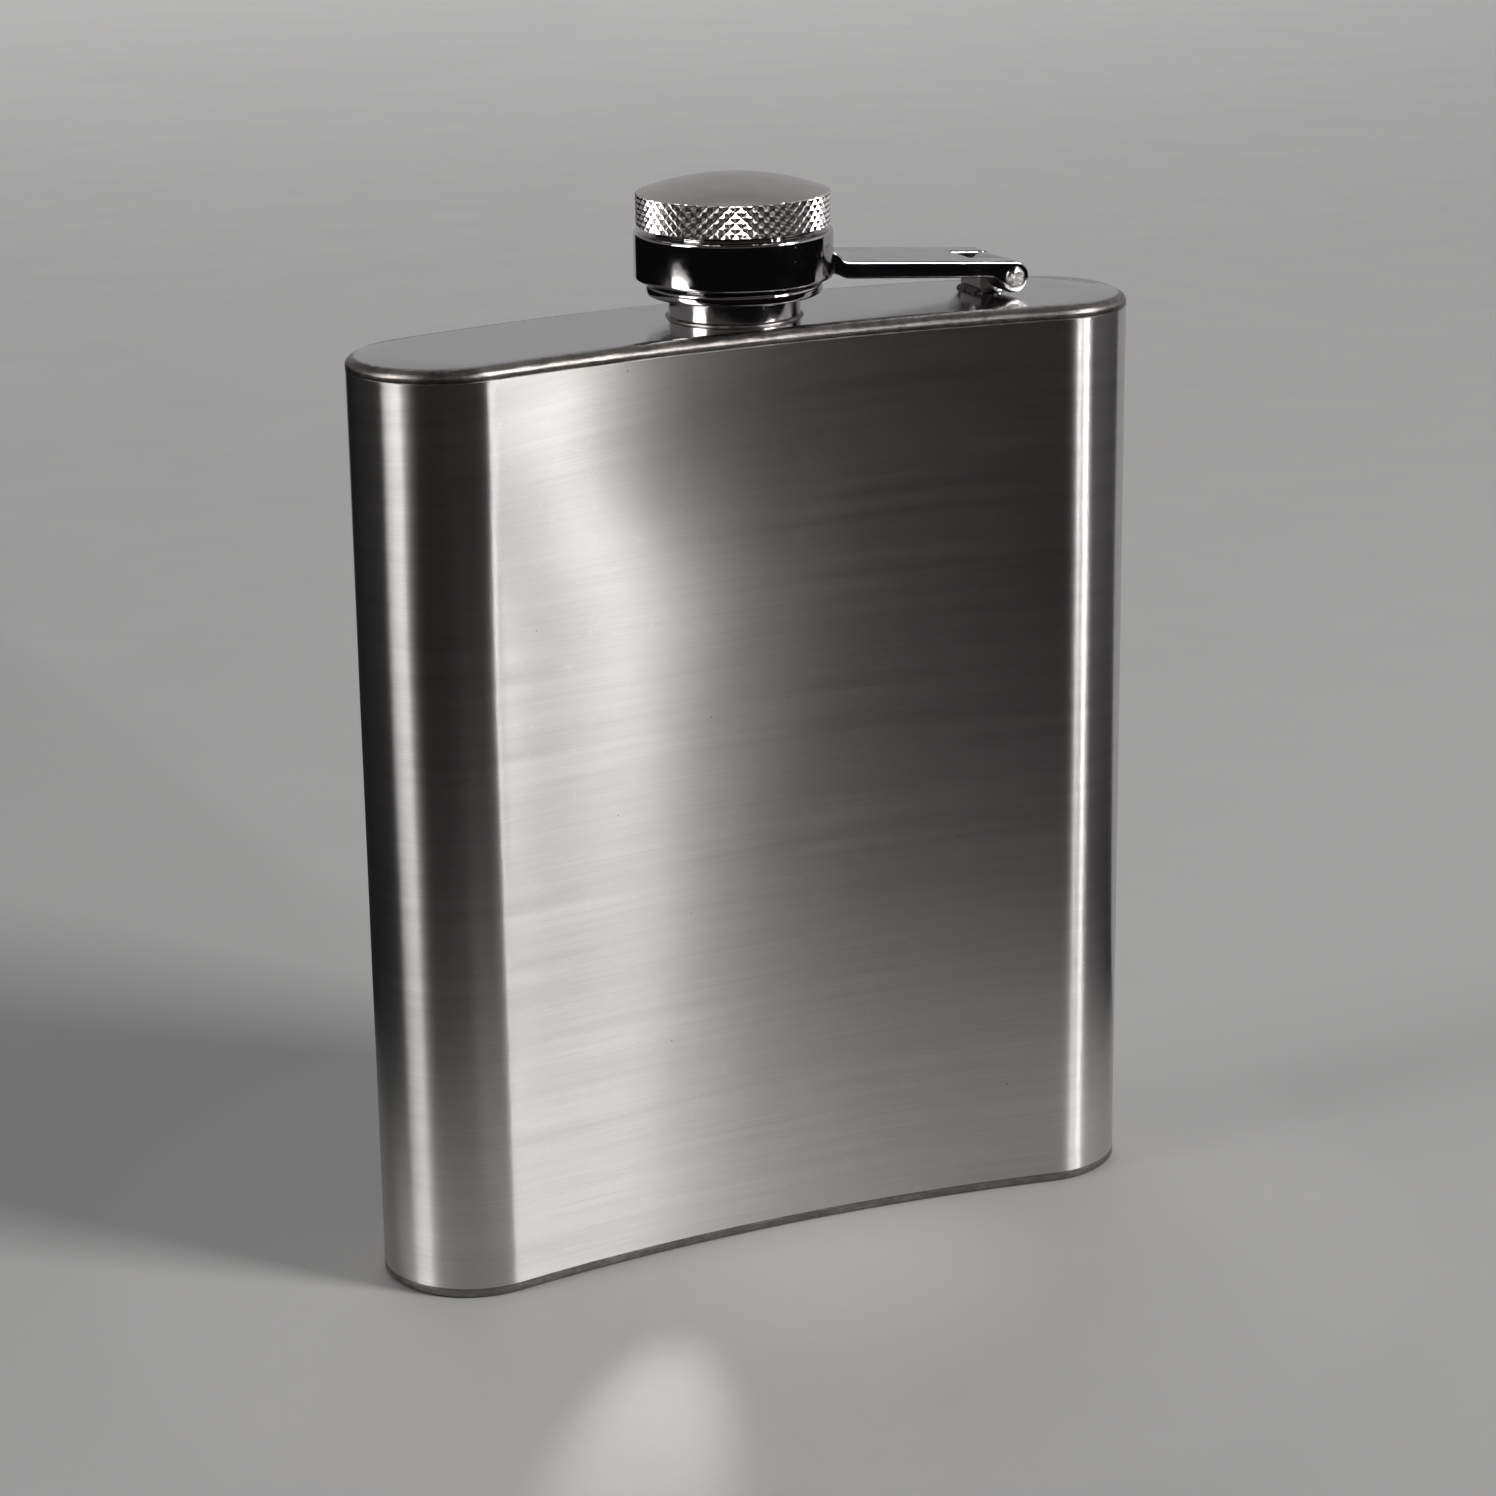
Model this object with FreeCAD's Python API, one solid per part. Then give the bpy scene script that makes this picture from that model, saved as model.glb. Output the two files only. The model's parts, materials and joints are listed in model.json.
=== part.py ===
# Hip flask with a captive screw cap on a hinged arm.
# Frame: origin at the bottom centre, +X across the width, +Y towards the convex back, +Z up.
# Millimetres. The concave side, which lies against the body, faces -Y.
import FreeCAD, Part
import math
import os

V = FreeCAD.Vector
UP = V(0, 0, 1)

# ---- body: driving dimensions
width = 94.0
depth = 25.2                 # over the convex back and the two forward-curving ends
plate_level = 106.9          # top face of the top plate
end_radius = 10.4            # rounded ends of the kidney section
front_hollow = 3.2           # how far the middle of the front stands behind its ends
sheet = 0.6                  # wall of the rolled shell
plate_wall = 0.7             # flat part of the top and bottom plates
plate_skirt = 1.2            # wall of the drawn rim under the top plate
top_rim_drop = 1.3
top_rim_round = 1.2
foot_rim_rise = 0.95
foot_rim_round = 0.4
seam_height = 0.25           # weld run between a plate and the shell
side_seam_width = 1.4

# ---- neck: heights from here on are above plate_level
axis_y = 1.4                 # neck, cap and hinge all sit on the middle of the section
neck_top = 8.6
neck_radius = 7.45
neck_bore = 5.9
neck_spigot_radius = 6.8
neck_spigot = 0.9            # through the plate
neck_thread_root = 7.0
neck_thread_from = 3.3
neck_thread_turns = 3
neck_mouth_round = 0.3
thread_pitch = 1.5
neck_weld_leg = 0.4

# ---- captive cap
insert_bottom = 2.6
flange_radius = 9.95
flange_top = 3.9
flange_round = 0.4
sleeve_radius = 8.9
insert_bore = 8.5            # bottom of the inner thread
insert_thread_crest = 8.1    # clears the neck while the arm swings
insert_thread_from = 4.6
insert_thread_turns = 2
insert_top = 12.0            # closed end, pressed into the head
head_bottom = 10.2
head_radius = 10.9
head_edge = 13.9
head_top = 15.8
head_chamfer = 0.2
dome_radius = 10.7
gasket_radius = 8.4
gasket_bottom = 8.7
gasket_thick = 1.5

# ---- hinge arm
ring_bottom = 4.4
ring_top = 9.7
ring_radius = 11.2
ring_bore = 9.2
ring_edge = 0.25
flange_room = 10.2           # the strap's root stays outside this radius, under the ring
pin_x = 32.8
pin_level = 2.15
pin_radius = 0.85
pin_head_radius = 1.2
pin_head_height = 0.4
barrel_radius = 1.85
strap_width = 11.0
strap_thick = 1.95
strap_slope = 4.8            # degrees, rising towards the ring
strap_root_x = 8.6
fork_gap = 5.2
fork_from_x = 28.5
root_fillet = 0.6

# ---- hinge bracket
tongue = 5.0
tongue_left = 30.0
tongue_right = 32.9
knuckle_radius = 1.75
eye_play = 0.05
bead_left = (0.8, 0.6)       # leg along the plate, leg up the bracket
bead_right = (0.8, 0.3)
bead_side_gap = 0.2

# ---- worked out
end_x = width / 2 - end_radius
end_y = -depth / 2 + end_radius
back_y = depth / 2
front_y = -depth / 2 + front_hollow
strap_front = axis_y - strap_width / 2


def arc_radius(sagitta):
    """Radius of the long arc that meets both end arcs and passes sagitta from their centre line."""
    reach = end_x ** 2 + sagitta ** 2 - end_radius ** 2
    return abs(reach / (2 * (sagitta - end_radius)))


back_radius = arc_radius(back_y - end_y)
front_radius = arc_radius(end_y - front_y)


def outline(inset, z):
    """Kidney outline at height z, set in by a distance all round."""
    end_centre = V(end_x, end_y, z)
    back_centre = V(0, back_y - back_radius, z)
    front_centre = V(0, front_y - front_radius, z)
    r = end_radius - inset
    back_joint = end_centre + (end_centre - back_centre).normalize() * r
    front_joint = end_centre - (end_centre - front_centre).normalize() * r
    end_middle = end_centre + V(r, 0, 0)

    def mirrored(p):
        return V(-p.x, p.y, p.z)

    arcs = [
        Part.Arc(mirrored(back_joint), V(0, back_y - inset, z), back_joint),
        Part.Arc(back_joint, end_middle, front_joint),
        Part.Arc(front_joint, V(0, front_y + inset, z), mirrored(front_joint)),
        Part.Arc(mirrored(front_joint), mirrored(end_middle), mirrored(back_joint)),
    ]
    return Part.Wire([arc.toShape() for arc in arcs])


def slab(inset, low, high):
    """Solid kidney slab between two heights."""
    return Part.Face(outline(inset, low)).extrude(V(0, 0, high - low))


def band(inset, wall, low, high):
    """Closed kidney band of one wall thickness."""
    return slab(inset, low, high).cut(slab(inset + wall, low, high))


def cylinder(radius, low, high, x=0.0, y=axis_y):
    return Part.makeCylinder(radius, high - low, V(x, y, low), UP)


def turned(edges):
    """Solid of revolution about the neck axis from edges in the plane y = axis_y."""
    return Part.Face(Part.Wire(edges)).revolve(V(0, axis_y, 0), UP, 360)


def at(r, z):
    """Point at radius r and height z above the plate, in the section plane."""
    return V(r, axis_y, plate_level + z)


def lines(points, closed=True):
    """Straight edges through the points."""
    loop = points + points[:1] if closed else points
    return [Part.makeLine(a, b) for a, b in zip(loop, loop[1:])]


def edges_at(shape, height):
    """Edges that lie flat at one height."""
    return [e for e in shape.Edges
            if abs(e.BoundBox.ZMin - height) < 1e-4 and abs(e.BoundBox.ZMax - height) < 1e-4]


def outer_edges_at(shape, height, inside):
    """Flat edges at one height that lie outside a radius about the neck axis."""
    found = []
    for edge in edges_at(shape, height):
        middle = edge.valueAt((edge.FirstParameter + edge.LastParameter) / 2)
        if math.hypot(middle.x, middle.y - axis_y) > inside:
            found.append(edge)
    return found


def thread_ridge(base, crest, start, turns):
    """Helical ridge from base radius to crest radius; crest may be inside base for a female thread."""
    low = plate_level + start
    helix = Part.makeHelix(thread_pitch, thread_pitch * turns, base)
    foot = 0.42 * thread_pitch
    tip = 0.10 * thread_pitch
    profile = Part.Wire(lines([V(base, 0, -foot), V(crest, 0, -tip), V(crest, 0, tip), V(base, 0, foot)]))
    ridge = Part.Wire(helix.Edges).makePipeShell([profile], True, True)
    ridge.translate(V(0, axis_y, low))
    return ridge


# ---- body pieces
def make_shell_and_side_seam():
    """Rolled shell, and the ground-flush weld that closes it at the +X end."""
    low = foot_rim_rise + seam_height
    high = plate_level - top_rim_drop - seam_height
    shell = band(0, sheet, low, high)
    gap = Part.makeBox(2 * end_radius, side_seam_width, high - low,
                       V(end_x, end_y - side_seam_width / 2, low))
    return shell.cut(gap), shell.common(gap)


def make_top_plate():
    """Shallow drawn lid with a rounded rim and a hole for the neck's spigot."""
    low = plate_level - top_rim_drop
    lid = slab(0, low, plate_level)
    lid = lid.makeFillet(top_rim_round, edges_at(lid, plate_level))
    lid = lid.cut(slab(plate_skirt, low, plate_level - plate_wall))
    return lid.cut(cylinder(neck_spigot_radius, low, plate_level))


def make_bottom_plate():
    """Flat foot with a short rim."""
    foot = slab(0, 0, foot_rim_rise)
    foot = foot.makeFillet(foot_rim_round, edges_at(foot, 0))
    return foot.cut(slab(plate_skirt, plate_wall, foot_rim_rise))


def make_top_rim_weld():
    high = plate_level - top_rim_drop
    return band(0, sheet, high - seam_height, high)


def make_bottom_rim_weld():
    return band(0, sheet, foot_rim_rise, foot_rim_rise + seam_height)


# ---- neck
def make_neck():
    """Turned neck with an outside thread, spigoted into the top plate."""
    section = [
        at(neck_bore, -neck_spigot), at(neck_spigot_radius, -neck_spigot), at(neck_spigot_radius, 0),
        at(neck_radius, 0), at(neck_radius, neck_thread_from - 0.4), at(neck_thread_root, neck_thread_from),
        at(neck_thread_root, neck_top - neck_mouth_round), at(neck_thread_root - neck_mouth_round, neck_top),
        at(neck_bore + neck_mouth_round, neck_top), at(neck_bore, neck_top - neck_mouth_round),
    ]
    core = turned(lines(section))
    ridge = thread_ridge(neck_thread_root - 0.08, neck_radius, neck_thread_from + 0.15, neck_thread_turns)
    return core.fuse(ridge)


def make_neck_weld():
    """Small braze fillet round the foot of the neck."""
    corner = at(neck_radius, 0)
    tip = at(neck_radius, neck_weld_leg)
    toe = at(neck_radius + neck_weld_leg, 0)
    middle = at(neck_radius + 0.36 * neck_weld_leg, 0.36 * neck_weld_leg)
    return turned([Part.makeLine(corner, toe), Part.Arc(toe, middle, tip).toShape(),
                   Part.makeLine(tip, corner)])


# ---- hinge
def hinge_point(x, z):
    """Point in the plane of the bracket's front face, at height z above the plate."""
    return V(x, axis_y - tongue / 2, plate_level + z)


def hinge_cylinder(radius, half_width):
    """Cylinder on the pin's axis, centred on the bracket."""
    start = V(pin_x, axis_y - half_width, plate_level + pin_level)
    return Part.makeCylinder(radius, 2 * half_width, start, V(0, 1, 0))


def make_bracket():
    """Upright tongue with a knuckle round the pin."""
    knuckle_top = hinge_point(pin_x, pin_level + knuckle_radius)
    knuckle_right = hinge_point(pin_x + knuckle_radius, pin_level)
    offset = tongue_right - pin_x
    knuckle_foot = hinge_point(tongue_right, pin_level - math.sqrt(knuckle_radius ** 2 - offset ** 2))
    shoulder = hinge_point(tongue_left, pin_level)
    foot_left = hinge_point(tongue_left, 0)
    foot_right = hinge_point(tongue_right, 0)
    shoulder_middle = hinge_point(tongue_left + 0.29 * (pin_x - tongue_left),
                                  pin_level + 0.71 * knuckle_radius)
    edges = [
        Part.makeLine(foot_left, shoulder),
        Part.Arc(shoulder, shoulder_middle, knuckle_top).toShape(),
        Part.Arc(knuckle_top, knuckle_right, knuckle_foot).toShape(),
        Part.makeLine(knuckle_foot, foot_right),
        Part.makeLine(foot_right, foot_left),
    ]
    blank = Part.Face(Part.Wire(edges)).extrude(V(0, tongue, 0))
    return blank.cut(hinge_cylinder(pin_radius + eye_play, tongue))


def make_bracket_weld():
    """Two fillet beads at the bracket's foot, one on each side of the post."""
    def bead(x, direction, legs):
        along, up = legs
        start = V(x, axis_y - tongue / 2 + bead_side_gap, plate_level)
        corners = [start, start + V(direction * along, 0, 0), start + V(0, 0, up)]
        return Part.Face(Part.Wire(lines(corners))).extrude(V(0, tongue - 2 * bead_side_gap, 0))
    return Part.makeCompound([bead(tongue_left, -1, bead_left), bead(tongue_right, 1, bead_right)])


def make_arm():
    """Ring that holds the cap, sloping strap, and fork with two barrels on the pin."""
    ring = cylinder(ring_radius, plate_level + ring_bottom, plate_level + ring_top)
    rims = edges_at(ring, plate_level + ring_bottom) + edges_at(ring, plate_level + ring_top)
    ring = ring.makeFillet(ring_edge, rims)

    slope = math.radians(strap_slope)
    along = V(-math.cos(slope), 0, math.sin(slope))
    across = V(math.sin(slope), 0, math.cos(slope))
    pin = V(pin_x, strap_front, plate_level + pin_level)
    length = (pin_x - strap_root_x) / math.cos(slope)
    top_hinge = pin + across * barrel_radius
    low_hinge = pin + across * (barrel_radius - strap_thick)
    strap = Part.Face(Part.Wire(lines([
        top_hinge, top_hinge + along * length, low_hinge + along * length, low_hinge,
    ]))).extrude(V(0, strap_width, 0))

    barrel = hinge_cylinder(barrel_radius, strap_width / 2)
    arm = ring.fuse([strap, barrel]).removeSplitter()
    notch = Part.makeBox(pin_x + 2 * barrel_radius - fork_from_x, fork_gap, 4 * barrel_radius,
                         V(fork_from_x, axis_y - fork_gap / 2, plate_level - barrel_radius))
    bore = cylinder(ring_bore, plate_level, plate_level + head_top)
    below_ring = cylinder(flange_room, plate_level, plate_level + ring_bottom)
    pin_hole = hinge_cylinder(pin_radius, strap_width)
    return arm.cut([notch, bore, below_ring, pin_hole]).removeSplitter()


def make_pin():
    """Rivet pin with a peened dome at each end."""
    half = strap_width / 2
    shank = hinge_cylinder(pin_radius, half)
    pieces = []
    for side in (-1, 1):
        face = V(pin_x, axis_y + side * half, plate_level + pin_level)
        ball = (pin_head_radius ** 2 + pin_head_height ** 2) / (2 * pin_head_height)
        centre = face + V(0, side * (pin_head_height - ball), 0)
        room = Part.makeCylinder(pin_head_radius, pin_head_height, face, V(0, side, 0))
        pieces.append(Part.makeSphere(ball, centre).common(room))
    return shank.fuse(pieces).removeSplitter()


# ---- cap
def make_cap_head():
    """Grip head with a low dome and a recess for the insert's closed end."""
    rise = head_top - head_edge
    ball = (dome_radius ** 2 + rise ** 2) / (2 * rise)
    halfway = head_top - ball + math.sqrt(ball ** 2 - (dome_radius / 2) ** 2)
    crown = Part.Arc(at(dome_radius, head_edge), at(dome_radius / 2, halfway), at(0, head_top))
    section = [
        at(0, head_top), at(0, insert_top), at(sleeve_radius, insert_top), at(sleeve_radius, head_bottom),
        at(head_radius - head_chamfer, head_bottom), at(head_radius, head_bottom + head_chamfer),
        at(head_radius, head_edge - head_chamfer), at(dome_radius, head_edge),
    ]
    return turned(lines(section, closed=False) + [crown.toShape()])


def make_cap_insert():
    """Threaded cup with a flange that keeps the arm's ring captive."""
    section = [
        at(insert_bore + 0.3, insert_bottom), at(flange_radius, insert_bottom),
        at(flange_radius, flange_top), at(sleeve_radius, flange_top), at(sleeve_radius, insert_top),
        at(0, insert_top), at(0, gasket_bottom + gasket_thick),
        at(insert_bore, gasket_bottom + gasket_thick), at(insert_bore, insert_bottom + 0.3),
    ]
    cup = turned(lines(section))
    rims = outer_edges_at(cup, plate_level + insert_bottom, flange_radius - 0.1)
    rims += outer_edges_at(cup, plate_level + flange_top, flange_radius - 0.1)
    cup = cup.makeFillet(flange_round, rims)
    ridge = thread_ridge(insert_bore + 0.08, insert_thread_crest, insert_thread_from, insert_thread_turns)
    return cup.fuse(ridge)


def make_cap_gasket():
    """Seal disc that closes on the neck's mouth."""
    low = plate_level + gasket_bottom
    return cylinder(gasket_radius, low, low + gasket_thick)


def main():
    shell, side_seam = make_shell_and_side_seam()
    nodes = {
        "body_shell": shell,
        "side_seam_weld": side_seam,
        "top_plate": make_top_plate(),
        "top_rim_weld": make_top_rim_weld(),
        "bottom_plate": make_bottom_plate(),
        "bottom_rim_weld": make_bottom_rim_weld(),
        "neck_tube": make_neck(),
        "neck_weld": make_neck_weld(),
        "hinge_bracket": make_bracket(),
        "bracket_weld": make_bracket_weld(),
        "captive_arm": make_arm(),
        "hinge_pin": make_pin(),
        "cap_head": make_cap_head(),
        "cap_insert": make_cap_insert(),
        "cap_gasket": make_cap_gasket(),
    }
    os.makedirs("parts", exist_ok=True)
    for name, shape in nodes.items():
        print(f"{name:16s} {len(shape.Solids)} solid(s), {shape.Volume:.1f} mm3")
        shape.exportStep(f"parts/{name}.step")
    inside = slab(sheet, plate_wall, plate_level - plate_wall)
    print(f"inside volume about {inside.Volume / 1000:.0f} ml")


main()
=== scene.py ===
import json
from math import acos, asin, atan2, copysign, cos, degrees, pi, radians, sin, sqrt, tan
import bpy
import bmesh
from mathutils import Matrix, Vector, noise


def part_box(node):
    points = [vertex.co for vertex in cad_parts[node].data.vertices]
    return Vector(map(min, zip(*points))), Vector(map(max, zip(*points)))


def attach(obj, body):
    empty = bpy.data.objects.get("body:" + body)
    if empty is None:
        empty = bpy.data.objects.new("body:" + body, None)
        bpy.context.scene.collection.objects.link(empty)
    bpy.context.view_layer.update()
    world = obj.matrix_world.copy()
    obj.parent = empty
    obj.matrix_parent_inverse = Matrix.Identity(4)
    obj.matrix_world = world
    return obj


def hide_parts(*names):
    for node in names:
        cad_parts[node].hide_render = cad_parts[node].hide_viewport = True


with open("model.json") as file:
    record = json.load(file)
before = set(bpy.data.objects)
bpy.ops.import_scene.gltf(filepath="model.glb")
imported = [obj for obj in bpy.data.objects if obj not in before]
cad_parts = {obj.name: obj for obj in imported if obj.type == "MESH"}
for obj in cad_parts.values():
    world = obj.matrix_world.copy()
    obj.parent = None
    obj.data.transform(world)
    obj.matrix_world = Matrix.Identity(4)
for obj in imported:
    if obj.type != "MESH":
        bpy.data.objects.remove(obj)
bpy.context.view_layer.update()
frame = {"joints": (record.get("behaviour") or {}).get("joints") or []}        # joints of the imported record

mm = 0.001
swing = next(j for j in frame["joints"] if j["name"] == "arm_swing")
turn = next(j for j in frame["joints"] if j["name"] == "cap_turn")
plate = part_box("top_plate")[1].z / mm       # every height below is millimetres over this face
axisY = turn["pos_m"][1] / mm               # neck, cap and arm share this line
pinX = swing["pos_m"][0] / mm
pinZ = swing["pos_m"][2] / mm - plate
print("frame loaded: plate at", round(plate, 2), "pin at", round(pinX, 2), round(pinZ, 2))


# small mesh tools, all in millimetres

def place(name, data):
    obj = bpy.data.objects.new(name, data)
    bpy.context.scene.collection.objects.link(obj)
    return obj


def discard(obj):
    mesh = obj.data
    bpy.data.objects.remove(obj)
    bpy.data.meshes.remove(mesh)


def waves(x, y, z):
    return noise.noise(Vector((x, y, z)))


def onCircle(x, y, radius, a):
    return x + radius * cos(a), y + radius * sin(a)


def toMesh(name, verts, faces, angle=34):
    mesh = bpy.data.meshes.new(name)
    mesh.from_pydata([Vector(v) * mm for v in verts], [], faces)
    return finishMesh(name, mesh, angle)


def finishMesh(name, mesh, angle=34):
    bm = bmesh.new()
    bm.from_mesh(mesh)
    bmesh.ops.recalc_face_normals(bm, faces=bm.faces)
    bm.to_mesh(mesh)
    bm.free()
    mesh.polygons.foreach_set("use_smooth", [True] * len(mesh.polygons))
    mesh.set_sharp_from_angle(angle=radians(angle))
    return place(name, mesh)


def stackLoops(name, loops, closed=False, angle=34):
    # equal loops of points joined in order; closed runs the last back to the first, else both ends are capped
    count = len(loops[0])
    verts = [p for loop in loops for p in loop]
    faces = []
    pairs = list(zip(range(len(loops)), range(1, len(loops))))
    if closed:
        pairs.append((len(loops) - 1, 0))
    for a, b in pairs:
        for i in range(count):
            j = (i + 1) % count
            faces.append((a * count + i, a * count + j, b * count + j, b * count + i))
    if not closed:
        faces.append(tuple(range(count)))
        last = (len(loops) - 1) * count
        faces.append(tuple(range(last, last + count)))
    return toMesh(name, verts, faces, angle)


def softCorners(points, closed=True, steps=4):
    # points are (x, z, radius); each corner with a radius becomes a short curve
    out = []
    count = len(points)
    for i, (x, z, r) in enumerate(points):
        here = Vector((x, z))
        if r == 0 or (not closed and i in (0, count - 1)):
            out.append(here)
            continue
        before = Vector(points[i - 1][:2]) - here
        after = Vector(points[(i + 1) % count][:2]) - here
        half = before.angle(after) / 2
        reach = min(r / tan(half), 0.49 * before.length, 0.49 * after.length)
        start = here + before.normalized() * reach
        end = here + after.normalized() * reach
        for k in range(steps + 1):
            t = k / steps
            out.append(start * (1 - t) ** 2 + here * 2 * t * (1 - t) + end * t ** 2)
    return out


def lathe(name, points, segments=160, closed=True, angle=34, wobble=None):
    # turned piece about the neck's line; points are (radius, height over the plate, corner radius)
    loops = []
    for r, z in softCorners(points, closed):
        loop = []
        for i in range(segments):
            a = 2 * pi * i / segments
            grow = wobble(a, z) if wobble else 0
            loop.append((*onCircle(0, axisY, r + grow, a), plate + z))
        loops.append(loop)
    return stackLoops(name, loops, closed, angle)


def evaluated(obj, name):
    # plain mesh of what the modifiers make, with the source object taken away
    depsgraph = bpy.context.evaluated_depsgraph_get()
    mesh = bpy.data.meshes.new_from_object(obj.evaluated_get(depsgraph))
    discard(obj)
    mesh.name = name
    return place(name, mesh)


def boolean(obj, tools, operation):
    for tool in tools:
        modifier = obj.modifiers.new("cut", "BOOLEAN")
        modifier.operation = operation
        modifier.solver = "EXACT"
        modifier.object = tool
    name = obj.name
    obj.name = name + "Blank"
    made = evaluated(obj, name)
    for tool in tools:
        discard(tool)
    return made


def bevelled(obj, width, limit=40, segments=3):
    modifier = obj.modifiers.new("edge", "BEVEL")
    modifier.width = width * mm
    modifier.segments = segments
    modifier.limit_method = "ANGLE"
    modifier.angle_limit = radians(limit)
    obj.modifiers.new("flat", "WEIGHTED_NORMAL").keep_sharp = True
    name = obj.name
    obj.name = name + "Blank"
    made = evaluated(obj, name)
    made.data.set_sharp_from_angle(angle=radians(48))
    return made


def acrossY(name, outline, middleY, wide):
    # outline in x and height over the plate, drawn out along Y
    low, high = middleY - wide / 2, middleY + wide / 2
    loops = [[(x, y, plate + z) for x, z in outline] for y in (low, high)]
    return stackLoops(name, loops)


def rodAlongY(name, x, z, radius, low, high, segments=64):
    ring = [onCircle(x, z, radius, 2 * pi * i / segments) for i in range(segments)]
    return acrossY(name, ring, (low + high) / 2, high - low)


def boxOf(name, low, high):
    corners = [(low[0], low[1]), (high[0], low[1]), (high[0], high[1]), (low[0], high[1])]
    return stackLoops(name, [[(x, y, plate + z) for x, y in corners] for z in (low[2], high[2])])


# node helpers for both shader and geometry trees

def feed(tree, socket, value):
    # link a socket, or set a plain value
    if isinstance(value, bpy.types.NodeSocket):
        tree.links.new(value, socket)
    else:
        socket.default_value = value


def node(tree, kind, inputs=None, **settings):
    made = tree.nodes.new(kind)
    for key, value in settings.items():
        setattr(made, key, value)
    for key, value in (inputs or {}).items():
        feed(tree, made.inputs[key], value)
    return made


def result(tree, kind, inputs=None, **settings):
    return node(tree, kind, inputs, **settings).outputs[0]


def groupTree(name, kind, takes, gives):
    # gives are (name, kind of value); takes are (name, kind of value, value it starts with if any)
    tree = bpy.data.node_groups.new(name, kind)
    for title, socketType, *value in takes:
        socket = tree.interface.new_socket(title, in_out="INPUT", socket_type="NodeSocket" + socketType)
        if value:
            socket.default_value = value[0]
    for title, socketType in gives:
        tree.interface.new_socket(title, in_out="OUTPUT", socket_type="NodeSocket" + socketType)
    return tree, tree.nodes.new("NodeGroupInput").outputs, tree.nodes.new("NodeGroupOutput").inputs


def math2(tree, operation, a, b=None):
    inputs = {0: a} if b is None else {0: a, 1: b}
    return result(tree, "ShaderNodeMath", inputs, operation=operation)


def times(tree, a, b):
    return math2(tree, "MULTIPLY", a, b)


def plus(tree, a, b):
    return math2(tree, "ADD", a, b)


def vector(tree, **parts):
    return result(tree, "ShaderNodeCombineXYZ", parts)


def vector2(tree, operation, a, b):
    return result(tree, "ShaderNodeVectorMath", {0: a, 1: b}, operation=operation)


def blend(tree, factor, a, b):
    return result(tree, "ShaderNodeMix", {0: factor, 2: a, 3: b})


def blendColor(tree, factor, a, b):
    return node(tree, "ShaderNodeMix", {0: factor, 6: a, 7: b}, data_type="RGBA").outputs[2]


def clouds(tree, where, scale, detail, **more):
    return result(tree, "ShaderNodeTexNoise", {"Vector": where, "Scale": scale, "Detail": detail, **more})


def spread(tree, value, low, high, fromLow=0.3, fromHigh=0.7):
    return result(tree, "ShaderNodeMapRange", {"Value": value, "From Min": fromLow, "From Max": fromHigh,
            "To Min": low, "To Max": high})


# shared surface effects

def makeGrainGroup():
    # long fine lines, as a brushing belt leaves them; the vector is in millimetres, lines run along its x
    takes = [("Vector", "Vector"), ("Line Length", "Float", 14.0), ("Line Width", "Float", 0.16),
            ("Unevenness", "Float", 0.5)]
    gives = [("Lines", "Float"), ("Bands", "Float"), ("Fine", "Float")]
    tree, given, out = groupTree("brushedGrain", "ShaderNodeTree", takes, gives)
    along = math2(tree, "DIVIDE", 1.0, given["Line Length"])
    across = math2(tree, "DIVIDE", 1.0, given["Line Width"])
    scale = vector(tree, X=along, Y=across, Z=0.3)
    warp = node(tree, "ShaderNodeTexNoise", {"Vector": given["Vector"], "Scale": 0.05, "Detail": 1.0})
    bend = vector2(tree, "MULTIPLY", warp.outputs["Color"], (0.0, 0.5, 0.0))
    bent = vector2(tree, "ADD", given["Vector"], bend)
    stretched = vector2(tree, "MULTIPLY", bent, scale)
    fine = clouds(tree, stretched, 1.0, 4.0, Roughness=0.7)
    broad = clouds(tree, vector2(tree, "MULTIPLY", stretched, (0.35, 0.12, 1.0)), 1.0, 2.0)
    tree.links.new(blend(tree, given["Unevenness"], fine, broad), out["Lines"])
    tree.links.new(broad, out["Bands"])
    tree.links.new(fine, out["Fine"])
    return tree


def makeScratchGroup():
    # sparse thin scratches at two slants, for handled metal
    takes = [("Vector", "Vector"), ("Scale", "Float", 1.0), ("Amount", "Float", 0.5)]
    tree, given, out = groupTree("handlingScratches", "ShaderNodeTree", takes, [("Mask", "Float")])
    total = None
    for slant, stretch in ((0.35, 14.0), (-0.8, 9.0)):
        turned = result(tree, "ShaderNodeVectorRotate", {"Vector": given["Vector"], "Angle": slant},
                rotation_type="Z_AXIS")
        long = vector2(tree, "MULTIPLY", turned, (1.0, stretch, stretch))
        web = node(tree, "ShaderNodeTexVoronoi", {"Vector": long, "Scale": given["Scale"],
                "Randomness": 1.0}, feature="DISTANCE_TO_EDGE").outputs["Distance"]
        thin = spread(tree, web, 1.0, 0.0, 0.0, 0.035)
        total = thin if total is None else math2(tree, "MAXIMUM", total, thin)
    patch = clouds(tree, given["Vector"], 0.35, 2.0)
    where = spread(tree, patch, 0.0, 1.0, 0.48, 0.66)
    tree.links.new(times(tree, times(tree, total, where), given["Amount"]), out["Mask"])
    return tree


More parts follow.
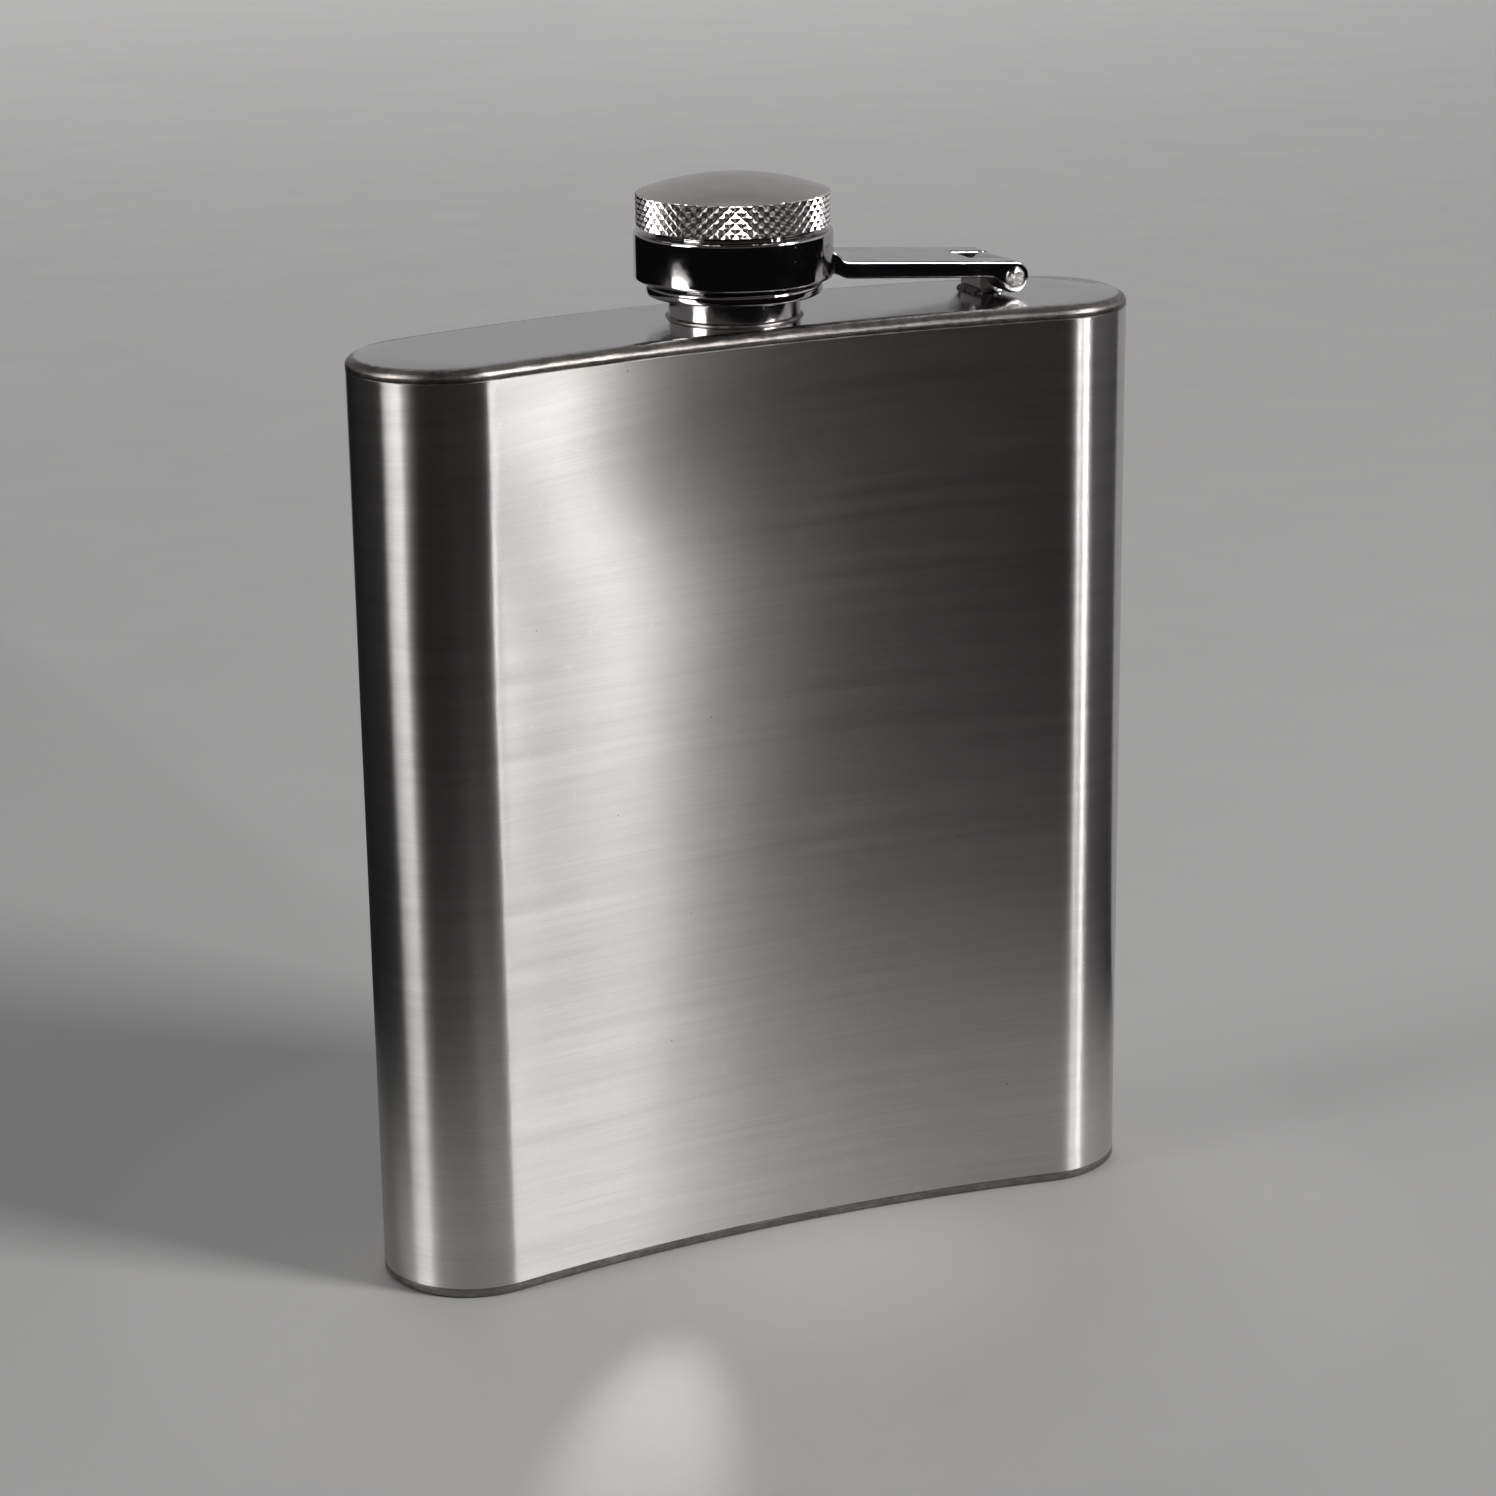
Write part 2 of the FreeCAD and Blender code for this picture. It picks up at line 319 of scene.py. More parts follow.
def makeDustGroup():
    # scattered small specks
    takes = [("Vector", "Vector"), ("Scale", "Float", 1.0), ("Speck Size", "Float", 0.08),
            ("Share", "Float", 0.3)]
    tree, given, out = groupTree("dustSpecks", "ShaderNodeTree", takes, [("Mask", "Float")])
    cells = node(tree, "ShaderNodeTexVoronoi", {"Vector": given["Vector"], "Scale": given["Scale"]},
            feature="F1")
    spot = math2(tree, "LESS_THAN", cells.outputs["Distance"], given["Speck Size"])
    pick = result(tree, "ShaderNodeSeparateColor", {0: cells.outputs["Color"]})
    kept = math2(tree, "LESS_THAN", pick, given["Share"])
    tree.links.new(times(tree, spot, kept), out["Mask"])
    return tree


grainGroup = makeGrainGroup()
scratchGroup = makeScratchGroup()
dustGroup = makeDustGroup()


def newMaterial(name, **sockets):
    material = bpy.data.materials.new(name)
    material.use_nodes = True
    tree = material.node_tree
    shader = next(n for n in tree.nodes if n.type == "BSDF_PRINCIPLED")
    for key, value in sockets.items():
        shader.inputs[key.replace("_", " ")].default_value = value
    return material, tree, shader


def millimetres(tree, fromUv=None):
    # object position in millimetres, or the piece's own unrolled map if it has one
    if fromUv:
        source = result(tree, "ShaderNodeUVMap", uv_map=fromUv)
        step = 1000.0 * unrollSpan
    else:
        source = node(tree, "ShaderNodeTexCoord").outputs["Object"]
        step = 1000.0
    return result(tree, "ShaderNodeVectorMath", {0: source, "Scale": step}, operation="SCALE")


def useGroup(tree, group, **inputs):
    named = {key.replace("_", " "): value for key, value in inputs.items()}
    return node(tree, "ShaderNodeGroup", named, node_tree=group).outputs


def coat(tree, shader, colour, rough, height, strength, distance):
    # colour, roughness and relief of one finish; distance in millimetres
    bump = result(tree, "ShaderNodeBump", {"Height": height, "Strength": strength, "Distance": distance * mm})
    tree.links.new(colour, shader.inputs["Base Color"])
    tree.links.new(rough, shader.inputs["Roughness"])
    tree.links.new(bump, shader.inputs["Normal"])


unrollSpan = 0.1          # metres of surface per unit of the unrolled map

brushedLook = {
    "bright": (0.66, 0.655, 0.645, 1), "dull": (0.54, 0.535, 0.525, 1), "roughness": 0.281,
    "anisotropy": 1.0, "lineLength": 18.0, "lineWidth": 0.17,
}


def makeBrushed(name, look):
    material, tree, shader = newMaterial(name, Metallic=1.0, Anisotropic=look["anisotropy"],
            Anisotropic_Rotation=0.25)
    where = millimetres(tree, "unrolled")
    grain = useGroup(tree, grainGroup, Vector=where, Line_Length=look["lineLength"],
            Line_Width=look["lineWidth"], Unevenness=0.35)
    scratch = useGroup(tree, scratchGroup, Vector=where, Scale=0.22, Amount=0.7)
    dust = useGroup(tree, dustGroup, Vector=where, Scale=0.32, Speck_Size=0.045, Share=0.22)
    tone = spread(tree, grain["Lines"], 0.0, 1.0, 0.32, 0.68)
    colour = blendColor(tree, tone, look["dull"], look["bright"])
    colour = blendColor(tree, times(tree, scratch["Mask"], 0.35), colour, (0.80, 0.80, 0.79, 1))
    colour = blendColor(tree, times(tree, dust["Mask"], 0.6), colour, (0.30, 0.29, 0.28, 1))
    rough = spread(tree, grain["Bands"], look["roughness"] - 0.005, look["roughness"] + 0.015)
    rough = plus(tree, rough, times(tree, dust["Mask"], 0.25))
    tangent = result(tree, "ShaderNodeTangent", direction_type="UV_MAP", uv_map="unrolled")
    tree.links.new(tangent, shader.inputs["Tangent"])
    height = plus(tree, grain["Fine"], times(tree, scratch["Mask"], -0.6))
    coat(tree, shader, colour, rough, height, 0.25, 0.0025)
    return material


polishedLook = {"colour": (0.53, 0.52, 0.525, 1), "worn": (0.44, 0.43, 0.42, 1), "roughness": 0.06}


def makePolished(name, look, haze=0.06, ripple=0.004):
    material, tree, shader = newMaterial(name, Metallic=1.0)
    where = millimetres(tree)
    scratch = useGroup(tree, scratchGroup, Vector=where, Scale=0.9, Amount=0.8)
    dust = useGroup(tree, dustGroup, Vector=where, Scale=0.9, Speck_Size=0.06, Share=0.16)
    cloud = clouds(tree, where, 0.28, 4.0)
    colour = blendColor(tree, spread(tree, cloud, 0.0, 1.0, 0.35, 0.65), look["colour"], look["worn"])
    colour = blendColor(tree, times(tree, dust["Mask"], 0.5), colour, (0.35, 0.34, 0.33, 1))
    rough = spread(tree, cloud, look["roughness"], look["roughness"] + haze, 0.4, 0.75)
    rough = plus(tree, rough, times(tree, scratch["Mask"], 0.12))
    rough = plus(tree, rough, times(tree, dust["Mask"], 0.3))
    wave = clouds(tree, where, 0.5, 2.0)
    height = plus(tree, wave, times(tree, scratch["Mask"], -0.25))
    coat(tree, shader, colour, rough, height, 0.6, ripple)
    return material


groundLook = {"light": (0.39, 0.37, 0.36, 1), "dark": (0.09, 0.082, 0.078, 1), "roughness": 0.34}


def groundSteel(tree, where, look, lineLength=2.6, lineWidth=0.35):
    # colour, roughness and height of hand-ground steel
    grain = useGroup(tree, grainGroup, Vector=where, Line_Length=lineLength, Line_Width=lineWidth,
            Unevenness=0.4)
    blot = clouds(tree, where, 0.9, 5.0, Roughness=0.65)
    tone = times(tree, spread(tree, grain["Lines"], 0.2, 1.0), spread(tree, blot, 0.4, 1.0))
    colour = blendColor(tree, tone, look["dark"], look["light"])
    rough = spread(tree, blot, look["roughness"] - 0.055, look["roughness"] + 0.06)
    height = plus(tree, grain["Lines"], blot)
    return colour, rough, height


def makeGround(name, look, depth=0.05):
    material, tree, shader = newMaterial(name, Metallic=1.0)
    coat(tree, shader, *groundSteel(tree, millimetres(tree), look), 0.8, depth)
    return material


plateLook = {"colour": (0.58, 0.58, 0.59, 1), "roughness": 0.11, "bandTop": -0.03, "bandFoot": -0.16}


def makePlate(name, level, outwards):
    # bright rolled sheet in the flat, hand-ground round its rim
    material, tree, shader = newMaterial(name, Metallic=1.0)
    where = millimetres(tree)
    unrolled = millimetres(tree, "unrolled")
    height = node(tree, "ShaderNodeSeparateXYZ", {0: where}).outputs["Z"]
    drop = times(tree, math2(tree, "SUBTRACT", height, level), outwards)
    ragged = clouds(tree, unrolled, 0.55, 4.0)
    drop = plus(tree, drop, spread(tree, ragged, -0.05, 0.05))
    flat = spread(tree, drop, 0.0, 1.0, plateLook["bandFoot"], plateLook["bandTop"])
    groundColour, groundRough, groundHeight = groundSteel(tree, unrolled, groundLook)
    scratch = useGroup(tree, scratchGroup, Vector=where, Scale=0.3, Amount=0.6)
    dust = useGroup(tree, dustGroup, Vector=where, Scale=0.45, Speck_Size=0.07, Share=0.3)
    cloud = clouds(tree, where, 0.12, 4.0)
    sheetColour = blendColor(tree, times(tree, dust["Mask"], 0.5), plateLook["colour"], (0.28, 0.27, 0.27,
            1))
    sheetRough = spread(tree, cloud, plateLook["roughness"] - 0.02, plateLook["roughness"] + 0.05)
    sheetRough = plus(tree, sheetRough, times(tree, scratch["Mask"], 0.08))
    colour = blendColor(tree, flat, groundColour, sheetColour)
    rough = blend(tree, flat, groundRough, sheetRough)
    raised = blend(tree, flat, groundHeight, times(tree, cloud, 0.05))
    coat(tree, shader, colour, rough, raised, 0.8, 0.05)
    return material


def makeSatinCap(name):
    # dome turned to a satin finish, knurl left bright
    material, tree, shader = newMaterial(name, Metallic=1.0)
    where = millimetres(tree)
    centred = vector2(tree, "SUBTRACT", where, (0.0, axisY, plate))
    parts = node(tree, "ShaderNodeSeparateXYZ", {0: centred}).outputs
    squares = [times(tree, parts[axis], parts[axis]) for axis in "XY"]
    radius = math2(tree, "SQRT", plus(tree, *squares))
    rings = clouds(tree, vector(tree, X=radius), 9.0, 3.0)
    onTop = spread(tree, parts["Z"], 0.0, 1.0, headPlan["edge"] - 0.02, headPlan["edge"] + 0.02)
    cloud = clouds(tree, where, 0.3, 4.0)
    grime = clouds(tree, where, 2.2, 3.0)
    dome = blendColor(tree, spread(tree, cloud, 0, 1), (0.57, 0.555, 0.53, 1), (0.52, 0.505, 0.48, 1))
    knurl = blendColor(tree, spread(tree, grime, 0, 1), (0.88, 0.86, 0.85, 1), (0.60, 0.58, 0.565, 1))
    rough = blend(tree, onTop, spread(tree, grime, 0.13, 0.25), spread(tree, cloud, 0.19, 0.25))
    height = plus(tree, times(tree, rings, onTop), times(tree, grime, 3.0))
    coat(tree, shader, blendColor(tree, onTop, knurl, dome), rough, height, 0.4, 0.012)
    return material


def makeRubber(name):
    material, tree, shader = newMaterial(name, Metallic=0.0, Subsurface_Weight=0.25, Subsurface_Scale=0.002)
    where = millimetres(tree)
    cloud = clouds(tree, where, 0.6, 4.0)
    dust = useGroup(tree, dustGroup, Vector=where, Scale=1.2, Speck_Size=0.08, Share=0.25)
    colour = blendColor(tree, spread(tree, cloud, 0, 1), (0.80, 0.80, 0.77, 1), (0.72, 0.71, 0.67, 1))
    colour = blendColor(tree, times(tree, dust["Mask"], 0.5), colour, (0.45, 0.43, 0.40, 1))
    coat(tree, shader, colour, spread(tree, cloud, 0.42, 0.58), cloud, 0.3, 0.03)
    return material


# the kidney outline

bodyPlan = {"endRadius": 10.4, "frontHollow": 3.2, "wall": 0.6, "seamHalf": 0.7, "waveDepth": 0.035,
        "rows": 72, "slant": 0.11, "slantFrom": 74, "slantFull": 104, "slantAt": -30}
shellLow, shellHigh = (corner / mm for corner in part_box("body_shell"))
endX = shellHigh.x - bodyPlan["endRadius"]
endY = shellLow.y + bodyPlan["endRadius"]
frontY = shellLow.y + bodyPlan["frontHollow"]


def longArc(sagitta):
    r = bodyPlan["endRadius"]
    return abs((endX ** 2 + sagitta ** 2 - r ** 2) / (2 * (sagitta - r)))


backRadius = longArc(shellHigh.y - endY)
frontRadius = longArc(endY - frontY)


def levelLoop(outline, z):
    return [(p.x, p.y, z) for p in outline]


def outwardOf(before, after):
    return Vector((after.y - before.y, before.x - after.x)).normalized()


def kidney(inset, gap=0.0):
    # anticlockwise from the middle of the +X end; gap leaves that many millimetres open either side of it
    backCentre = Vector((0, shellHigh.y - backRadius))
    frontCentre = Vector((0, frontY - frontRadius))
    r = bodyPlan["endRadius"] - inset
    backTurn = atan2(endY - backCentre.y, endX)
    frontTurn = atan2(endY - frontCentre.y, endX) - pi
    start = gap / r
    runs = [
        ((endX, endY), r, start, backTurn, 34),
        (backCentre, backRadius - inset, backTurn, pi - backTurn, 70),
        ((-endX, endY), r, pi - backTurn, pi - frontTurn, 60),
        (frontCentre, frontRadius + inset, -frontTurn, pi + frontTurn, 84),
        ((endX, endY), r, frontTurn, -start, 34),
    ]
    points = []
    for (cx, cy), radius, first, last, steps in runs:
        for k in range(steps):
            a = first + (last - first) * k / steps
            points.append(Vector(onCircle(cx, cy, radius, a)))
    if gap:
        a = -start
        points.append(Vector(onCircle(endX, endY, r, a)))
    return points


def lengthsAlong(points):
    total = [0.0]
    for a, b in zip(points, points[1:]):
        total.append(total[-1] + (b - a).length)
    return total


def unroll(obj, pathPoints, slant=None):
    # UV map: x along the outline, y up the piece, so that brushing follows the sheet;
    # slant(along, z) lifts a brushed line off the level
    lengths = lengthsAlong(pathPoints + pathPoints[:1])
    count = len(pathPoints)
    uv = obj.data.uv_layers.new(name="unrolled")
    unit = unrollSpan / mm
    for face in obj.data.polygons:
        columns = [obj.data.loops[i].vertex_index % count for i in face.loop_indices]
        wraps = max(columns) - min(columns) > count / 2
        for i, column in zip(face.loop_indices, columns):
            along = lengths[count] if wraps and column < count / 2 else lengths[column]
            z = obj.data.vertices[obj.data.loops[i].vertex_index].co.z
            up = z / mm - (slant(along, z / mm) if slant else 0)
            uv.data[i].uv = (along / unit, up / unit)


# body

def makeShell():
    outer = kidney(0, bodyPlan["seamHalf"])
    inner = kidney(bodyPlan["wall"], bodyPlan["seamHalf"])
    rows = bodyPlan["rows"]
    count = len(outer)
    lengths = lengthsAlong(outer)
    verts = []
    for outline in (outer, inner):
        for k in range(rows + 1):
            share = k / rows
            z = shellLow.z + (shellHigh.z - shellLow.z) * share
            fade = min(1, 8 * share, 8 * (1 - share))
            for i, p in enumerate(outline):
                before, after = outline[max(i - 1, 0)], outline[min(i + 1, count - 1)]
                seamFade = min(1, 0.2 * i, 0.2 * (count - 1 - i))
                wave = waves(lengths[i] * 0.035, z * 0.03, 2.7)
                wave += 0.35 * waves(lengths[i] * 0.11, z * 0.07, 9.1)
                q = p + outwardOf(before, after) * (bodyPlan["waveDepth"] * (wave - 0.6) * fade * seamFade)
                verts.append((q.x, q.y, z))
    faces = []
    layer = (rows + 1) * count
    for side in (0, layer):
        for k in range(rows):
            for i in range(count - 1):
                a = side + k * count + i
                faces.append((a, a + 1, a + 1 + count, a + count))
    for edge in (0, rows * count):
        for i in range(count - 1):
            faces.append((edge + i, edge + i + 1, layer + edge + i + 1, layer + edge + i))
    for column in (0, count - 1):
        for k in range(rows):
            a = column + k * count
            faces.append((a, a + count, layer + a + count, layer + a))
    shell = toMesh("flaskShell", verts, faces, 40)
    around = lengths[-1] + 2 * bodyPlan["seamHalf"]
    middle = min(range(count), key=lambda i: abs(outer[i].x - bodyPlan["slantAt"])
            + (99 if outer[i].y > 0 else 0))

    def slant(along, z):
        t = min(1, max(0, (z - bodyPlan["slantFrom"]) / (bodyPlan["slantFull"] - bodyPlan["slantFrom"])))
        turnBy = 2 * pi * (along - lengths[middle]) / around
        return bodyPlan["slant"] * t * t * (3 - 2 * t) * around / (2 * pi) * sin(turnBy)

    unroll(shell, outer, slant)
    return shell


seamPlan = {"rows": 220, "columns": 8, "roughness": 0.035}


def makeSideSeam():
    # weld run that closes the sheet, ground almost flush
    r = bodyPlan["endRadius"]
    half = bodyPlan["seamHalf"] / r
    loops = []
    for k in range(seamPlan["rows"] + 1):
        z = shellLow.z + (shellHigh.z - shellLow.z) * k / seamPlan["rows"]
        loop = []
        for i in range(seamPlan["columns"] + 1):
            a = half - 2 * half * i / seamPlan["columns"]
            bump = waves(a * 9, z * 0.9, 4.2) * cos(a / half * pi / 2)
            loop.append((endX + (r + seamPlan["roughness"] * (bump - 0.5)) * cos(a), endY + r * sin(a), z))
        for i in range(seamPlan["columns"] + 1):
            a = -half + 2 * half * i / seamPlan["columns"]
            loop.append((*onCircle(endX, endY, r - bodyPlan["wall"], a), z))
        loops.append(loop)
    return stackLoops("sideSeam", loops, angle=50)


rimTurn = radians(64)      # how far the ground rim turns in from the upright before the flat begins
topPlan = {"rimDrop": 1.3, "rimIn": 1.2, "rimFall": 1.05, "wall": 0.7, "skirt": 1.2, "rimSteps": 12,
        "groundDepth": 0.045}
neckPlan = {"spigot": 6.8, "radius": 7.45, "bore": 5.9, "top": 8.6, "threadRoot": 7.0, "threadFrom": 3.3}


def roundTheRim(inset, drop, share):
    # arc from the seam up to the flat, meeting it at a crisp edge
    a = share * rimTurn
    return inset * (1 - cos(a)) / (1 - cos(rimTurn)), -drop * (1 - sin(a) / sin(rimTurn))


def plateLoops(inset, level, hole):
    # loops across the flat of a plate, from its outline to a circle round the neck's line
    rings = 8
    outline = kidney(inset)
    turns = [atan2(p.y - axisY, p.x) for p in outline]
    circle = [Vector(onCircle(0, axisY, hole, a)) for a in turns]
    return [levelLoop([p.lerp(q, k / rings) for p, q in zip(outline, circle)], level) for k in range(1,
            rings + 1)]


def rimLoops(plan, level, outwards):
    # ground rim; outwards is 1 for the top plate and -1 for the foot
    loops = []
    for k in range(plan["rimSteps"] + 1):
        share = k / plan["rimSteps"]
        inset, drop = roundTheRim(plan["rimIn"], plan["rimFall"], share)
        loop = []
        outline = kidney(inset)
        lengths = lengthsAlong(outline)
        for i, p in enumerate(outline):
            rough = waves(lengths[i] * 0.5, drop * 2.2, 5.5 * outwards)
            rough += 0.6 * waves(lengths[i] * 1.6, drop * 5.0, 1.5)
            depth = plan["groundDepth"] * sin(pi * share)
            loop.append((p.x, p.y, level + outwards * (drop + depth * (rough - 1.2))))
        loops.append(loop)
    return loops


def makeTopPlate():
    p = topPlan
    rim, under = kidney(0), kidney(p["skirt"])
    low, ceiling = plate - p["rimDrop"], plate - p["wall"]
    loops = [levelLoop(rim, low)]
    loops += rimLoops(p, plate, 1)
    loops += plateLoops(p["rimIn"], plate, neckPlan["spigot"])
    loops += plateLoops(p["skirt"], ceiling, neckPlan["spigot"])[::-1]
    loops += [levelLoop(under, ceiling), levelLoop(under, low)]
    made = stackLoops("topPlate", loops, closed=True, angle=40)
    unroll(made, rim)
    return made


footPlan = {"rimIn": 0.4, "rimFall": 0.4, "rise": 0.95, "wall": 0.7, "skirt": 1.2, "rimSteps": 5,
        "groundDepth": 0.02, "middle": 2.0}


def makeBottomPlate():
    p = footPlan
    rim, under = kidney(0), kidney(p["skirt"])
    loops = plateLoops(p["skirt"], p["wall"], p["middle"])[::-1]
    loops += [levelLoop(under, p["wall"]), levelLoop(under, p["rise"]), levelLoop(rim, p["rise"])]
    loops += rimLoops(p, 0.0, -1)
    loops += plateLoops(p["rimIn"], 0.0, p["middle"])
    made = stackLoops("bottomPlate", loops, angle=40)
    unroll(made, rim)
    return made


weldPlan = {"depth": 0.012, "rows": 4}


def makeRimWeld(name, low, high, seed):
    # thin weld line between a plate and the shell, dressed flush by hand
    outline, inner = kidney(0), kidney(bodyPlan["wall"])
    lengths = lengthsAlong(outline)
    count = len(outline)
    loops = []
    for k in range(weldPlan["rows"] + 1):
        share = k / weldPlan["rows"]
        loop = []
        for i, p in enumerate(outline):
            before, after = outline[i - 1], outline[(i + 1) % count]
            pit = waves(lengths[i] * 0.9, share * 2.0, seed)
            q = p + outwardOf(before, after) * weldPlan["depth"] * (pit - 1.0 - 1.6 * sin(pi * share))
            loop.append((q.x, q.y, low + (high - low) * share))
        loops.append(loop)
    loops += [levelLoop(inner, high), levelLoop(inner, low)]
    made = stackLoops(name, loops, closed=True, angle=60)
    unroll(made, outline)
    return made


# Geometry Nodes: threads follow a helix, weld drops follow a line, and the knurl is one point repeated

def growTree(name, *takes):
    both = [("Geometry", "Geometry"), *takes, ("Material", "Material")]
    return groupTree(name, "GeometryNodeTree", both, [("Geometry", "Geometry")])


def realized(tree, geometry, given, out):
    # plain mesh in its material, as the last steps of a tree
    plain = node(tree, "GeometryNodeRealizeInstances", {"Geometry": geometry})
    coated = result(tree, "GeometryNodeSetMaterial", {"Geometry": plain.outputs[0],
            "Material": given["Material"]})
    tree.links.new(coated, out["Geometry"])
    return tree


def helixTree():
    takes = [("Turns", "Float", 3.0), ("Pitch", "Float", 1.5), ("Radius", "Float", 7.0),
             ("Ridge", "Float", 0.4), ("Run Out", "Float", 0.08)]
    tree, given, out = growTree("threadAlongHelix", *takes)
    rise = times(tree, given["Turns"], given["Pitch"])
    spiral = result(tree, "GeometryNodeCurveSpiral", {"Resolution": 72, "Rotations": given["Turns"],
            "Start Radius": given["Radius"], "End Radius": given["Radius"], "Height": rise})
    share = node(tree, "GeometryNodeSplineParameter").outputs["Factor"]
    near = math2(tree, "MINIMUM", share, math2(tree, "SUBTRACT", 1.0, share))
    fade = result(tree, "ShaderNodeMapRange", {"Value": near, "From Max": given["Run Out"], "To Min": 0.05},
            interpolation_type="SMOOTHSTEP")
    shaped = result(tree, "GeometryNodeSetCurveRadius", {"Curve": spiral, "Radius": fade})
    section = result(tree, "GeometryNodeCurvePrimitiveCircle", {"Resolution": 10, "Radius": given["Ridge"]},
            mode="RADIUS")
    tube = node(tree, "GeometryNodeCurveToMesh", {"Curve": shaped,
            "Profile Curve": section, "Fill Caps": True})
    if "Scale" in tube.inputs:
        tree.links.new(fade, tube.inputs["Scale"])
    return realized(tree, tube.outputs[0], given, out)


def knurlTree():
    takes = [("Around", "Int", 72), ("Rows", "Int", 11), ("Radius", "Float", 0.0106),
             ("Row Height", "Float", 0.00087), ("Depth", "Float", 0.0003), ("Blunt Share", "Float", 0.18),
             ("Bottom", "Float", 0.117), ("Middle Y", "Float", 0.0014)]
    tree, given, out = growTree("diamondKnurl", *takes)
    # one blunt four-sided point, built flat with its height along Z
    base = result(tree, "GeometryNodeMeshCircle", {"Vertices": 4, "Radius": 0.5}, fill_type="NGON")
    point = node(tree, "GeometryNodeExtrudeMesh", {"Mesh": base, "Offset Scale": given["Depth"],
            "Individual": False}, mode="FACES")
    blunt = node(tree, "GeometryNodeScaleElements", {"Geometry": point.outputs["Mesh"],
            "Selection": point.outputs["Top"], "Scale": given["Blunt Share"]}, domain="FACE")
    pitch = math2(tree, "DIVIDE", times(tree, given["Radius"], 2 * pi), given["Around"])
    size = vector(tree, X=given["Row Height"], Y=pitch, Z=1.0)
    sized = result(tree, "GeometryNodeTransform", {"Geometry": blunt.outputs[0], "Scale": size})
    stood = result(tree, "GeometryNodeTransform", {"Geometry": sized, "Rotation": (0.0, pi / 2, 0.0)})
    # staggered rows of places round the band
    total = times(tree, given["Around"], given["Rows"])
    places = node(tree, "GeometryNodePoints", {"Count": total})
    index = result(tree, "GeometryNodeInputIndex")
    row = math2(tree, "FLOOR", math2(tree, "DIVIDE", plus(tree, index, 0.5), given["Around"]))
    column = math2(tree, "SUBTRACT", index, times(tree, row, given["Around"]))
    stagger = times(tree, math2(tree, "MODULO", row, 2.0), 0.5)
    steps = math2(tree, "DIVIDE", plus(tree, column, stagger), given["Around"])
    turnBy = times(tree, steps, 2 * pi)
    x = times(tree, math2(tree, "COSINE", turnBy), given["Radius"])
    y = plus(tree, times(tree, math2(tree, "SINE", turnBy), given["Radius"]), given["Middle Y"])
    z = plus(tree, times(tree, row, times(tree, given["Row Height"], 0.5)), given["Bottom"])
    spot = vector(tree, X=x, Y=y, Z=z)
    placed = result(tree, "GeometryNodeSetPosition", {"Geometry": places.outputs[0], "Position": spot})
    facing = vector(tree, Z=turnBy)
    copies = result(tree, "GeometryNodeInstanceOnPoints", {"Points": placed,
            "Instance": stood, "Rotation": facing})
    plain = result(tree, "GeometryNodeRealizeInstances", {"Geometry": copies})
    welded = result(tree, "GeometryNodeMergeByDistance", {"Geometry": plain, "Distance": 0.00004})
    return realized(tree, welded, given, out)


def beadTree():
    takes = [("Drops", "Int", 6), ("Start", "Vector", (0, 0, 0)), ("End", "Vector", (0, 0, 0)),
             ("Drop Radius", "Float", 0.0005), ("Flatness", "Vector", (1, 1, 0.7)), ("Seed", "Int", 3)]
    tree, given, out = growTree("weldDrops", *takes)
    line = result(tree, "GeometryNodeMeshLine", {"Count": given["Drops"], "Start Location": given["Start"],
            "Offset": given["End"]}, mode="END_POINTS")
    drop = result(tree, "GeometryNodeMeshIcoSphere", {"Radius": given["Drop Radius"], "Subdivisions": 3})
    size = node(tree, "FunctionNodeRandomValue", {"Seed": given["Seed"]}, data_type="FLOAT")
    size.inputs[2].default_value = 0.9
    size.inputs[3].default_value = 1.08
    scale = result(tree, "ShaderNodeVectorMath", {0: given["Flatness"], "Scale": size.outputs[1]},
            operation="SCALE")
    drops = result(tree, "GeometryNodeInstanceOnPoints", {"Points": line, "Instance": drop, "Scale": scale})
    return realized(tree, drops, given, out)


def growFrom(tree, name, values, material):
    # run a tree on an empty mesh with these inputs, and keep the plain mesh that it makes
    obj = place(name + "Seed", bpy.data.meshes.new(name + "Seed"))
    modifier = obj.modifiers.new("grow", "NODES")
    modifier.node_group = tree
    identifiers = {item.name: item.identifier for item in tree.interface.items_tree if item.in_out == "INPUT"}
    for title, value in {**values, "Material": material}.items():
        modifier[identifiers[title]] = value
    made = evaluated(obj, name)
    made.data.polygons.foreach_set("use_smooth", [True] * len(made.data.polygons))
    return made


def fuseObjects(name, parts):
    # one object from several, materials kept
    bm = bmesh.new()
    slots = []
    for part in parts:
        start = len(bm.faces)
        bm.from_mesh(part.data)
        bm.faces.ensure_lookup_table()
        for face in bm.faces[start:]:
            used = part.data.materials[face.material_index] if part.data.materials else None
            if used not in slots:
                slots.append(used)
            face.material_index = slots.index(used)
    mesh = bpy.data.meshes.new(name)
    bm.to_mesh(mesh)
    bm.free()
    for used in slots:
        mesh.materials.append(used)
    for part in parts:
        discard(part)
    return place(name, mesh)


def makeThread(tree, name, plan, material):
    made = growFrom(tree, name, {"Turns": float(plan["turns"]), "Pitch": plan["pitch"] * mm,
            "Radius": plan["radius"] * mm, "Ridge": plan["ridge"] * mm, "Run Out": plan["runOut"]},
            material)
    made.data.transform(Matrix.Translation(Vector((0, axisY, plate + plan["from"])) * mm))
    return made


# neck, hinge, arm and cap

neckThread = {"turns": 3, "pitch": 1.5, "radius": 6.98, "ridge": 0.45, "runOut": 0.07, "from": 3.55}


